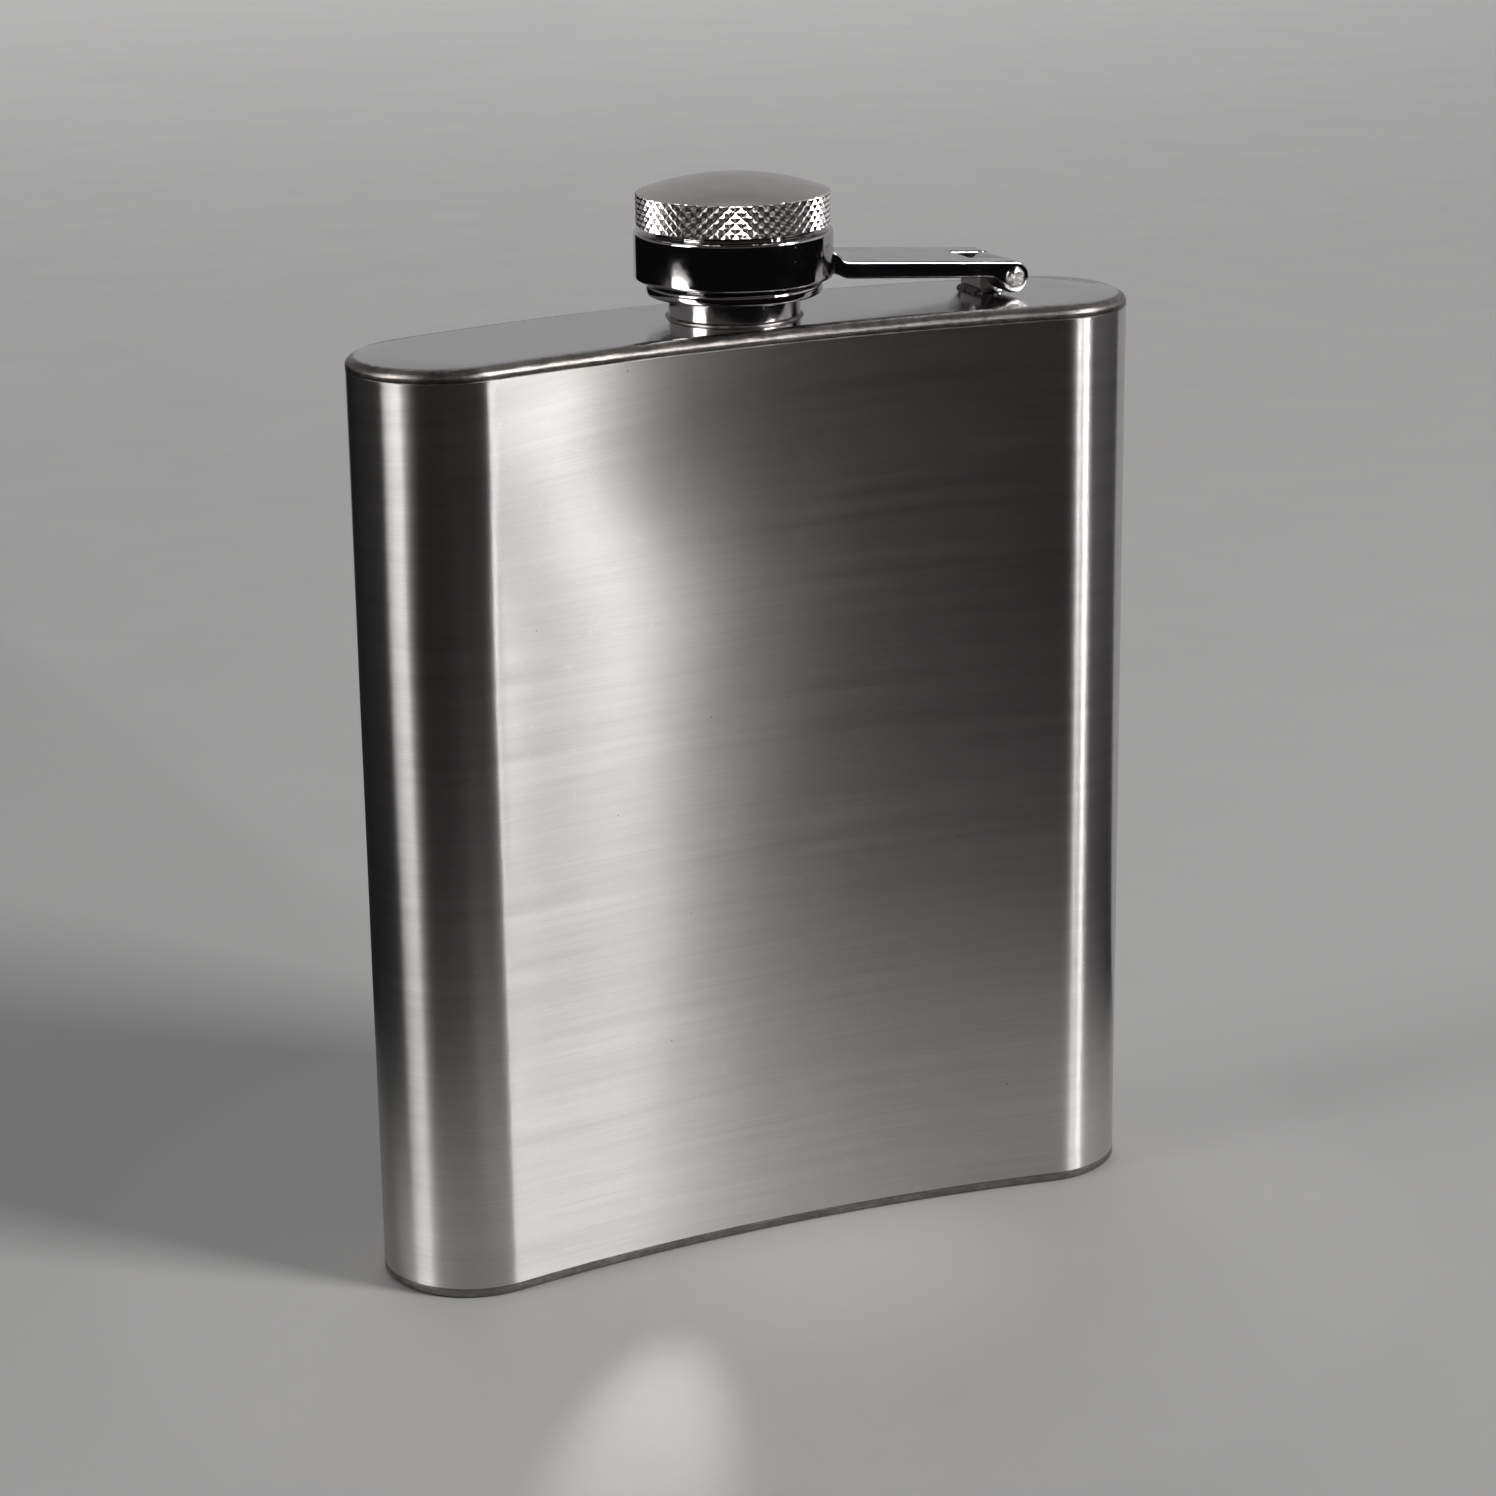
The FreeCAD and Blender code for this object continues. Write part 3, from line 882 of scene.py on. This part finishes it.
def makeNeck(tree, material):
    n = neckPlan
    core = lathe("neckTube", [
        (n["bore"], -0.9, 0), (n["spigot"], -0.9, 0), (n["spigot"], -0.02, 0), (n["radius"], -0.02, 0),
        (n["radius"], n["threadFrom"] - 0.4, 0.3), (n["threadRoot"], n["threadFrom"], 0.2),
        (n["threadRoot"], n["top"], 0.35), (n["bore"], n["top"], 0.3)])
    core.data.materials.append(material)
    return fuseObjects("neckTube", [core, makeThread(tree, "neckThread", neckThread, material)])


neckWeldPlan = {"inside": 0.3, "foot": 0.34, "waist": 0.26, "waistAt": 0.16, "lip": 0.05, "high": 0.34,
        "uneven": 0.10}


def makeNeckWeld():
    # thin lip of braze with an uneven edge
    p = neckWeldPlan
    r = neckPlan["radius"]

    def uneven(a, z):
        return p["uneven"] * waves(cos(a) * 6, sin(a) * 6, z * 3)

    return lathe("neckWeld", [
        (r - p["inside"], 0.0, 0), (r + p["foot"], 0.0, 0), (r + p["waist"], p["waistAt"], 0.1),
        (r + p["lip"], p["high"], 0.1), (r - p["inside"], p["high"], 0)
    ], segments=200, angle=60, wobble=uneven)


bracketPlan = {"left": 30.0, "right": 32.9, "knuckle": 1.75, "wide": 5.0, "eye": 0.9, "edge": 0.18}


def makeBracket():
    p = bracketPlan
    r = p["knuckle"]
    footTurn = -acos((p["right"] - pinX) / r)
    outline = [(p["left"], 0.0)]
    steps = 14
    for k in range(steps + 1):         # shoulder, a quarter of an ellipse up to the knuckle's top
        a = pi - pi / 2 * k / steps
        outline.append((pinX + (pinX - p["left"]) * cos(a), pinZ + r * sin(a)))
    for k in range(1, 2 * steps + 1):  # knuckle
        a = pi / 2 + (footTurn - pi / 2) * k / (2 * steps)
        outline.append(onCircle(pinX, pinZ, r, a))
    outline.append((p["right"], 0.0))
    blank = acrossY("hingeBracket", outline, axisY, p["wide"])
    eye = rodAlongY("eyeTool", pinX, pinZ, p["eye"], axisY - p["wide"], axisY + p["wide"])
    return bevelled(boolean(blank, [eye], "DIFFERENCE"), p["edge"])


beadPlan = {"drops": 13, "inset": 0.5, "out": 0.12, "sides": (("beadLeft", "left", -1, 0.6, 0.5, 3),
        ("beadRight", "right", 1, 0.42, 0.24, 8))}


def makeBracketWeld(tree, material):
    half = bracketPlan["wide"] / 2 - beadPlan["inset"]
    parts = []
    for name, side, way, radius, high, seed in beadPlan["sides"]:
        x = bracketPlan[side] + way * beadPlan["out"]
        parts.append(growFrom(tree, name, {
            "Drops": beadPlan["drops"], "Drop Radius": radius * mm, "Flatness": (1.0, 1.0, high / radius),
            "Start": Vector((x, axisY - half, plate)) * mm, "End": Vector((x, axisY + half, plate)) * mm,
            "Seed": seed}, material))
    return fuseObjects("bracketWeld", parts)


armPlan = {"ringLow": 4.4, "ringHigh": 9.7, "ring": 11.2, "bore": 9.2, "ringEdge": 0.38, "wide": 11.0,
        "thick": 1.95, "slope": 4.8, "barrel": 1.85, "barrelTurn": 142, "fork": 5.2, "forkFrom": 28.5,
        "hole": 0.86, "edge": 0.3, "rootIn": 9.5, "rootOn": 10.6, "rootOut": 12.0, "flare": 0.75,
        "flareCurve": 2.4, "under": 3.1}


def makeArm():
    p = armPlan
    slope = radians(p["slope"])
    r = p["barrel"]
    thick = p["thick"] / cos(slope)
    length = p["rootOut"] - p["rootOn"]

    def topAt(x):
        return pinZ + r / cos(slope) + (pinX - x) * tan(slope)

    # side view of the strap: flared root in the ring's wall, straight run, barrel round the pin
    outline = [(p["rootIn"], topAt(p["rootIn"]) + 1.9 * p["flare"])]
    for k in range(7):
        x = p["rootOut"] - length * (1 - k / 6)
        outline.append((x, topAt(x) + p["flare"] * (1 - k / 6) ** p["flareCurve"]))
    outline.append((p["forkFrom"] - 1.0, topAt(p["forkFrom"] - 1.0)))
    steps = 26
    first = pi / 2 - slope
    for k in range(steps + 1):
        a = first - (first + radians(p["barrelTurn"])) * k / steps
        outline.append(onCircle(pinX, pinZ, r, a))
    tail = Vector(outline[-1])
    meet = Vector((pinX - p["under"], topAt(pinX - p["under"]) - thick))
    corner = tail + Vector((-0.75, 1.05))
    for k in range(1, 7):              # hollow that runs the barrel into the strap's underside
        t = k / 6
        outline.append(tuple(tail * (1 - t) ** 2 + corner * 2 * t * (1 - t) + meet * t * t))
    for k in range(7):
        x = p["rootOut"] - length * k / 6
        outline.append((x, topAt(x) - thick + 0.55 * p["flare"] * (k / 6) ** p["flareCurve"]))
    outline.append((p["rootIn"], topAt(p["rootIn"]) - thick + 0.9 * p["flare"]))
    strap = acrossY("strapBlank", outline, axisY, p["wide"])
    notch = boxOf("notchTool", (p["forkFrom"], axisY - p["fork"] / 2, -4), (pinX + 6, axisY + p["fork"] / 2,
            8))
    hole = rodAlongY("holeTool", pinX, pinZ, p["hole"], axisY - p["wide"], axisY + p["wide"])
    strap = bevelled(boolean(strap, [notch, hole], "DIFFERENCE"), p["edge"], segments=4)
    ring = lathe("captiveArm", [
        (p["bore"], p["ringLow"], 0.25), (p["ring"], p["ringLow"], p["ringEdge"]),
        (p["ring"], p["ringHigh"], p["ringEdge"]), (p["bore"], p["ringHigh"], 0.25)], segments=192)
    arm = boolean(ring, [strap], "UNION")
    arm.data.polygons.foreach_set("use_smooth", [True] * len(arm.data.polygons))
    arm.data.set_sharp_from_angle(angle=radians(38))
    arm.modifiers.new("flat", "WEIGHTED_NORMAL").keep_sharp = True
    arm.name = "captiveArmBlank"
    return evaluated(arm, "captiveArm")


pinPlan = {"radius": 0.85, "headRadius": 1.2, "headHeight": 0.4, "steps": 8, "segments": 40, "dent": 0.11}


def makePin():
    # rivet with hammered domes at both ends
    p = pinPlan
    half = armPlan["wide"] / 2
    profile = []
    for k in range(p["steps"] + 1):
        a = pi / 2 * k / p["steps"]
        profile.append((max(0.02, p["headRadius"] * sin(a)), half + p["headHeight"] * cos(a)))
    profile.append((p["radius"], half))
    mirrored = [(r, -y) for r, y in profile[::-1]]
    loops = []
    for r, y in profile + mirrored:
        loop = []
        for i in range(p["segments"]):
            a = 2 * pi * i / p["segments"]
            dent = 0.0
            if abs(y) > half:
                dent = p["dent"] * waves(r * cos(a) * 2.2, y, r * sin(a) * 2.2) - 0.05
            loop.append((pinX + r * cos(a), axisY + y + copysign(dent, y), plate + pinZ + r * sin(a)))
        loops.append(loop)
    return stackLoops("hingePin", loops, angle=50)


insertPlan = {"bottom": 2.6, "flange": 9.95, "flangeTop": 3.9, "sleeve": 8.9, "bore": 8.5,
        "closedFrom": 10.2, "top": 11.98}
insertThread = {"turns": 2, "pitch": 1.5, "radius": 8.55, "ridge": 0.42, "runOut": 0.09, "from": 4.7}


def makeInsert(tree, material):
    p = insertPlan
    cup = lathe("capInsert", [(p["bore"] + 0.3, p["bottom"], 0.1), (p["flange"], p["bottom"], 0.5),
            (p["flange"], p["flangeTop"], 0.45), (p["sleeve"], p["flangeTop"], 0.12),
            (p["sleeve"], p["top"], 0.1), (0.02, p["top"], 0), (0.02, p["closedFrom"], 0),
            (p["bore"], p["closedFrom"], 0.1), (p["bore"], p["bottom"] + 0.4, 0.1)])
    cup.data.materials.append(material)
    return fuseObjects("capInsert", [cup, makeThread(tree, "insertThread", insertThread, material)])


headPlan = {"bottom": 10.2, "edge": 13.9, "top": 15.8, "radius": 10.9, "dome": 10.62, "recess": 8.9,
        "recessTop": 12.0, "around": 54, "rowHeight": 1.19, "depth": 0.27, "blunt": 0.18, "chamfer": 0.12}


def zipLoops(bm, first, second):
    # triangles between two rings of vertices with different counts, both about the neck's line
    def angle(v):
        return atan2(v.co.y - axisY * mm, v.co.x) % (2 * pi)
    a, b = sorted(first, key=angle), sorted(second, key=angle)
    i = j = 0
    while i < len(a) or j < len(b):
        nextA = angle(a[i % len(a)]) + 2 * pi * (i // len(a))
        nextB = angle(b[j % len(b)]) + 2 * pi * (j // len(b))
        p, q = a[i % len(a)], b[j % len(b)]
        if j >= len(b) or (i < len(a) and nextA <= nextB):
            i += 1
            corners = (p, a[i % len(a)], q)
        else:
            j += 1
            corners = (p, b[j % len(b)], q)
        if len(set(corners)) == 3 and not bm.faces.get(corners):
            bm.faces.new(corners)


def makeHead(tree, material):
    p = headPlan
    start = p["bottom"] - p["rowHeight"]
    rows = int(2 * (p["edge"] - start) / p["rowHeight"]) + 3
    knurl = growFrom(tree, "knurlBand", {
        "Around": p["around"], "Rows": rows, "Radius": (p["radius"] - p["depth"]) * mm,
        "Row Height": p["rowHeight"] * mm, "Depth": p["depth"] * mm, "Blunt Share": p["blunt"],
        "Bottom": (plate + start) * mm, "Middle Y": axisY * mm}, material)
    bm = bmesh.new()
    bm.from_mesh(knurl.data)
    low, high = p["bottom"] + p["chamfer"], p["edge"] - 0.05
    for z, up in ((low, -1), (high, 1)):
        bmesh.ops.bisect_plane(bm, geom=bm.verts[:] + bm.edges[:] + bm.faces[:], dist=1e-7, plane_co=(0, 0,
                (plate + z) * mm), plane_no=(0, 0, up), clear_outer=True)
    bmesh.ops.remove_doubles(bm, verts=bm.verts, dist=2e-5)

    def rimVerts(z):
        return [v for v in bm.verts if abs(v.co.z - (plate + z) * mm) < 3e-6 and v.is_boundary]

    def ring(r, z, count=144):
        made = []
        for i in range(count):
            a = 2 * pi * i / count
            made.append(bm.verts.new(Vector((*onCircle(0, axisY, r, a), plate + z)) * mm))
        return made

    def join(a, b):
        for i in range(len(a)):
            j = (i + 1) % len(a)
            bm.faces.new((a[i], a[j], b[j], b[i]))

    lowRim, highRim = rimVerts(low), rimVerts(high)
    ballRise = p["top"] - p["edge"]
    ball = (p["dome"] ** 2 + ballRise ** 2) / (2 * ballRise)
    last = ring(p["dome"], p["edge"])
    zipLoops(bm, highRim, last)
    domeSteps = 18
    for k in range(1, domeSteps + 1):
        r = p["dome"] * cos(pi / 2 * k / domeSteps) if k < domeSteps else 0.03
        here = ring(r, p["top"] - ball + sqrt(ball * ball - r * r))
        join(last, here)
        last = here
    bm.faces.new(last)
    under = [(p["radius"] - 0.45, p["bottom"]), (p["recess"] + 0.02, p["bottom"]), (p["recess"] + 0.02,
            p["recessTop"]), (0.03, p["recessTop"])]
    last = ring(*under[0])
    zipLoops(bm, lowRim, last)
    for r, z in under[1:]:
        here = ring(r, z)
        join(last, here)
        last = here
    bm.faces.new(last)
    mesh = bpy.data.meshes.new("capHead")
    bm.to_mesh(mesh)
    bm.free()
    discard(knurl)
    head = finishMesh("capHead", mesh, 24)
    head.data.materials.append(material)
    return head


gasketPlan = {"radius": 8.4, "low": 8.7, "high": 10.18, "print": 0.06}


def makeGasket():
    # seal disc, with the ring that the neck's mouth has pressed into it
    p = gasketPlan
    inner, outer = neckPlan["bore"] + 0.2, neckPlan["threadRoot"] - 0.1
    return lathe("capGasket", [
        (0.02, p["high"], 0), (p["radius"], p["high"], 0.15), (p["radius"], p["low"], 0.25),
        (outer + 0.15, p["low"], 0.1), (outer, p["low"] + p["print"], 0.05),
        (inner, p["low"] + p["print"], 0.05), (inner - 0.15, p["low"], 0.1), (0.02, p["low"], 0)
    ], closed=False, segments=128)


# put it together

def dress(obj, body, slot, material, *nodes):
    if material and not obj.data.materials:
        obj.data.materials.append(material)
    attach(obj, body)
    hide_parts(*nodes)
    return obj


brushed = makeBrushed("brushedBody", brushedLook)
ground = makeGround("groundWeld", groundLook)
topSheet = makePlate("brightPlate", plate, 1)
footSheet = makePlate("brightFoot", 0.0, -1)
polished = makePolished("polishedArm", polishedLook)
neckSteel = makePolished("turnedNeck", {**polishedLook, "roughness": 0.10}, haze=0.10, ripple=0.01)
pinSteel = makePolished("hammeredPin", {**polishedLook, "roughness": 0.10}, haze=0.1, ripple=0.09)
capSteel = makeSatinCap("knurledCap")
rubber = makeRubber("siliconeSeal")
print("materials made")

dress(makeShell(), "flask", "body_brushed", brushed, "body_shell")
dress(makeSideSeam(), "flask", "body_brushed", ground, "side_seam_weld")
dress(makeTopPlate(), "flask", "plate_satin", topSheet, "top_plate")
dress(makeBottomPlate(), "flask", "plate_satin", footSheet, "bottom_plate")
for name, weld, seed in (("topRimWeld", "top_rim_weld", 1.7), ("bottomRimWeld", "bottom_rim_weld", 6.3)):
    low, high = (corner.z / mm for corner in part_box(weld))
    dress(makeRimWeld(name, low, high, seed), "flask", "weld_steel", ground, weld)
print("body made")

threads = helixTree()
beads = beadTree()
dress(makeNeck(threads, neckSteel), "flask", "neck_steel", neckSteel, "neck_tube")
dress(makeNeckWeld(), "flask", "weld_steel", ground, "neck_weld")
dress(makeBracket(), "flask", "arm_steel", polished, "hinge_bracket")
dress(makeBracketWeld(beads, ground), "flask", "weld_steel", ground, "bracket_weld")
print("neck and bracket made")

dress(makeArm(), "arm", "arm_steel", polished, "captive_arm")
dress(makePin(), "arm", "pin_steel", pinSteel, "hinge_pin")
print("arm made")

dress(makeInsert(threads, polished), "cap", "arm_steel", polished, "cap_insert")
dress(makeHead(knurlTree(), capSteel), "cap", "cap_steel", capSteel, "cap_head")
dress(makeGasket(), "cap", "gasket_rubber", rubber, "cap_gasket")
print("cap made")


# floor, light and camera

studio = {"floorSize": 5.0, "floorTone": (0.29, 0.287, 0.284, 1), "world": (0.40, 0.395, 0.398, 1),
        "worldLevel": 0.70}


def makeFloor():
    half = studio["floorSize"] / 2 / mm
    floor = toMesh("floor", [(-half, -half, 0), (half, -half, 0), (half, half, 0), (-half, half, 0)],
            [(0, 1, 2, 3)])
    material, tree, shader = newMaterial("paleFloor", Metallic=0.0)
    cloud = clouds(tree, node(tree, "ShaderNodeTexCoord").outputs["Object"], 30.0, 5.0)
    tone = studio["floorTone"]
    darker = tuple(c * 0.97 for c in tone[:3]) + (1,)
    tree.links.new(blendColor(tree, cloud, tone, darker), shader.inputs["Base Color"])
    tree.links.new(spread(tree, cloud, 0.55, 0.65), shader.inputs["Roughness"])
    floor.data.materials.append(material)


def makeCard(name, verts, faces, tone, strength):
    # card that only shows in reflections, like a flag or a reflector on a photo table
    card = toMesh(name, verts, faces)
    material = bpy.data.materials.new(name)
    material.use_nodes = True
    tree = material.node_tree
    tree.nodes.clear()
    glow = result(tree, "ShaderNodeEmission", {"Color": tone, "Strength": strength})
    tree.links.new(glow, node(tree, "ShaderNodeOutputMaterial").inputs[0])
    card.data.materials.append(material)
    for ray in ("camera", "diffuse", "shadow", "transmission"):
        setattr(card, "visible_" + ray, False)


def aimLamp(name, data, spot, away):
    lamp = place(name, data)
    lamp.location = spot
    lamp.rotation_euler = away.to_track_quat("Z", "Y").to_euler()
    lamp.visible_glossy = False
    return lamp


def areaLight(name, azimuth, elevation, distance, size, power, aim=(0, 0, 0.06), beam=180):
    # azimuth from -Y towards +X, both in degrees
    a, e = radians(azimuth), radians(elevation)
    away = Vector((sin(a) * cos(e), -cos(a) * cos(e), sin(e)))
    data = bpy.data.lights.new(name, "AREA")
    data.shape = "RECTANGLE"
    data.size, data.size_y = size
    data.energy = power
    data.spread = radians(beam)
    aimLamp(name, data, Vector(aim) + away * distance, away)


makeFloor()
world = bpy.data.worlds.new("softRoom")
world.use_nodes = True
background = world.node_tree.nodes["Background"].inputs
background["Color"].default_value = studio["world"]
background["Strength"].default_value = studio["worldLevel"]
bpy.context.scene.world = world


def around(azimuth, distance, height):
    # place in millimetres; azimuth from -Y towards +X
    a = radians(azimuth)
    return distance * sin(a), -distance * cos(a), height


def sector(edges, rings, steps):
    # corners and faces of a card that follows rings of (distance, height) from one edge to the other;
    # an edge is an azimuth, or gives one at an elevation
    verts = []
    for distance, height in rings:
        elevation = atan2(height - 60, distance)
        first, last = (edge(elevation) if callable(edge) else edge for edge in edges)
        verts += [around(first + (last - first) * k / steps, distance, height) for k in range(steps + 1)]
    faces = []
    for ring in range(len(rings) - 1):
        for k in range(steps):
            i = ring * (steps + 1) + k
            faces.append((i, i + 1, i + steps + 2, i + steps + 1))
    return verts, faces


def coneEdge(turn, sine):
    # azimuth that one brushed line picks up at each elevation
    return lambda elevation: turn + degrees(asin(sine / cos(elevation)))


keyTone = (1.0, 0.985, 0.975, 1)
lightRings = [(950, 250 + 60 * k) for k in range(16)]
surroundRings = [(78, 5), (1300, 5), (1300, 1300), (600, 1900)]
cards = [        # name, its two azimuths, rings of (distance, height), steps, tone, strength
    ("darkSurround", (-178, 100), surroundRings, 40, (0.0045, 0.0042, 0.005, 1), 1.0),
    ("roomWall", (-178, 100), [(1290, 220), (1290, 1150)], 40, (0.090, 0.079, 0.073, 1), 1.0),
    ("roomRight", (56, 100), [(1200, 220), (1200, 900)], 12, (0.62, 0.60, 0.60, 1), 1.0),
    ("roomLeft", (-178, -104), [(1200, 220), (1200, 900)], 12, (0.20, 0.195, 0.19, 1), 1.0),
    ("backWall", (100, 260), [(1350, 5), (1350, 1180)], 16, (0.385, 0.38, 0.385, 1), 1.0),
    ("ceilingBack", (95, 265), [(1000, 1330), (780, 1700)], 16, (0.60, 0.59, 0.56, 1), 1.0),
    ("darkTop", (0, 359), [(1, 1990), (900, 1990)], 48, (0.03, 0.028, 0.028, 1), 1.0),
    ("keyCardLeft", (coneEdge(4.05, 0.4555), coneEdge(4.7, 0.4607)), lightRings, 6, keyTone, 68.0),
    ("keyCardRight", (coneEdge(9.9, 0.5015), coneEdge(10.6, 0.55)), lightRings, 6, keyTone, 38.0),
    ("sideCard", (-100, -76), lightRings, 6, (1.0, 0.985, 0.965, 1), 9.0),
]
for name, edges, rings, steps, tone, strength in cards:
    makeCard(name, *sector(edges, rings, steps), tone, strength)
areaLight("keySoft", 43, 29, 1.4, (0.35, 0.35), 25)
areaLight("sideSoft", -88, 36, 1.4, (0.4, 0.4), 5)
areaLight("backSoft", 165, 60, 1.3, (1.8, 0.8), 10, aim=(0.35, 1.25, 0), beam=90)


def bounceSpot(name, spot, aim, power, cone, narrow=1.0):
    # soft patch of light that the hollow face throws on the floor in front of it
    data = bpy.data.lights.new(name, "SPOT")
    data.energy = power
    data.spot_size = radians(cone)
    data.spot_blend = 1.0
    data.shadow_soft_size = 0.002
    aimLamp(name, data, Vector(spot) * mm, Vector(spot) - Vector(aim)).scale = (narrow, 1, 1)


bounceSpot("bouncePatch", (-16, -18, 60), (-42, -62, 0), 0.20, 60, 0.30)
bounceSpot("bounceFoot", (4, -18, 40), (0, -22, 0), 0.016, 80)
cameraPlan = {"place": (-0.1851, -0.3975, 0.1906), "azimuth": -24.73, "elevation": 18.08, "roll": -0.86,
        "lens": 95.27, "shift": (0.0114, 0.0495)}


def makeCamera():
    a, e, roll = (radians(cameraPlan[k]) for k in ("azimuth", "elevation", "roll"))
    forward = Vector((-sin(a) * cos(e), cos(a) * cos(e), -sin(e)))
    right = forward.cross(Vector((0, 0, 1))).normalized()
    up = right.cross(forward)
    side = right * cos(roll) + up * sin(roll)
    top = up * cos(roll) - right * sin(roll)
    data = bpy.data.cameras.new("camera")
    data.lens = cameraPlan["lens"]
    data.sensor_width = 36.0
    data.shift_x, data.shift_y = cameraPlan["shift"]
    data.clip_start = 0.01
    camera = place("camera", data)
    turnTo = Matrix((side, top, -forward)).transposed().to_4x4()
    camera.matrix_world = Matrix.Translation(cameraPlan["place"]) @ turnTo
    bpy.context.scene.camera = camera


makeCamera()
bpy.context.scene.view_settings.view_transform = "Standard"
print("studio made")
